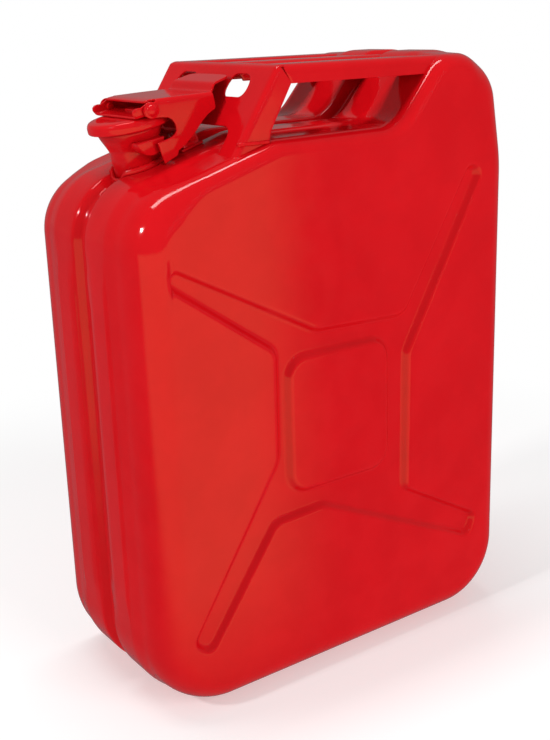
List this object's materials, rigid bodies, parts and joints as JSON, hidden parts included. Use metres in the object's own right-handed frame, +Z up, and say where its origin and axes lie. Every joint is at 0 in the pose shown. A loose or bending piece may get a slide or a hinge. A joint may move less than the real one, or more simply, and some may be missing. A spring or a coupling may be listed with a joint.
{
  "type": "fuel can",
  "caption": "Pressed-steel fuel can with an X-shaped channel on each broad face, a leaning neck, a hinged lid closed by a hook lever, and parallel carrying bars.",
  "frame": {"origin": "centre of the bounding box at the can's base", "axes": "+Z up, +X along the broad faces from the neck to the hump, +Y through the thickness away from the shown face"},
  "size_m": [0.348, 0.165, 0.4705],
  "materials": {
    "red_paint": "gloss",
    "black_rubber": "matte",
    "bare_steel": "satin"
  },
  "bodies": {
    "can": {"near_shell": "red_paint", "far_shell": "red_paint", "neck": "red_paint", "neck_collar": "red_paint", "breather_tube": "bare_steel", "neck_lug_near": "red_paint", "neck_lug_far": "red_paint", "hinge_bracket": "red_paint", "hinge_pin": "red_paint", "handle_front_plate": "red_paint", "handle_bar_near": "red_paint", "handle_bar_middle": "red_paint", "handle_bar_far": "red_paint"},
    "lid_group": {"lid": "red_paint", "gasket": "black_rubber", "lid_yoke": "red_paint", "lever_rivet_near": "red_paint", "lever_rivet_far": "red_paint"},
    "lever_group": {"lever": "red_paint"}
  },
  "joints": [
    {"name": "lid_hinge", "type": "hinge", "parent": "can", "child": "lid_group", "pos_m": [-0.08836, 0, 0.41958], "axis": [0, 1, 0], "range_deg": [0, 49]},
    {"name": "lever_hinge", "type": "hinge", "parent": "lid_group", "child": "lever_group", "pos_m": [-0.12594, 0, 0.44098], "axis": [0, -1, 0], "range_deg": [0, 70]}
  ],
  "couplings": [
    {"joint": "lid_hinge", "follows": "lever_hinge", "ratio": 0.7}
  ]
}
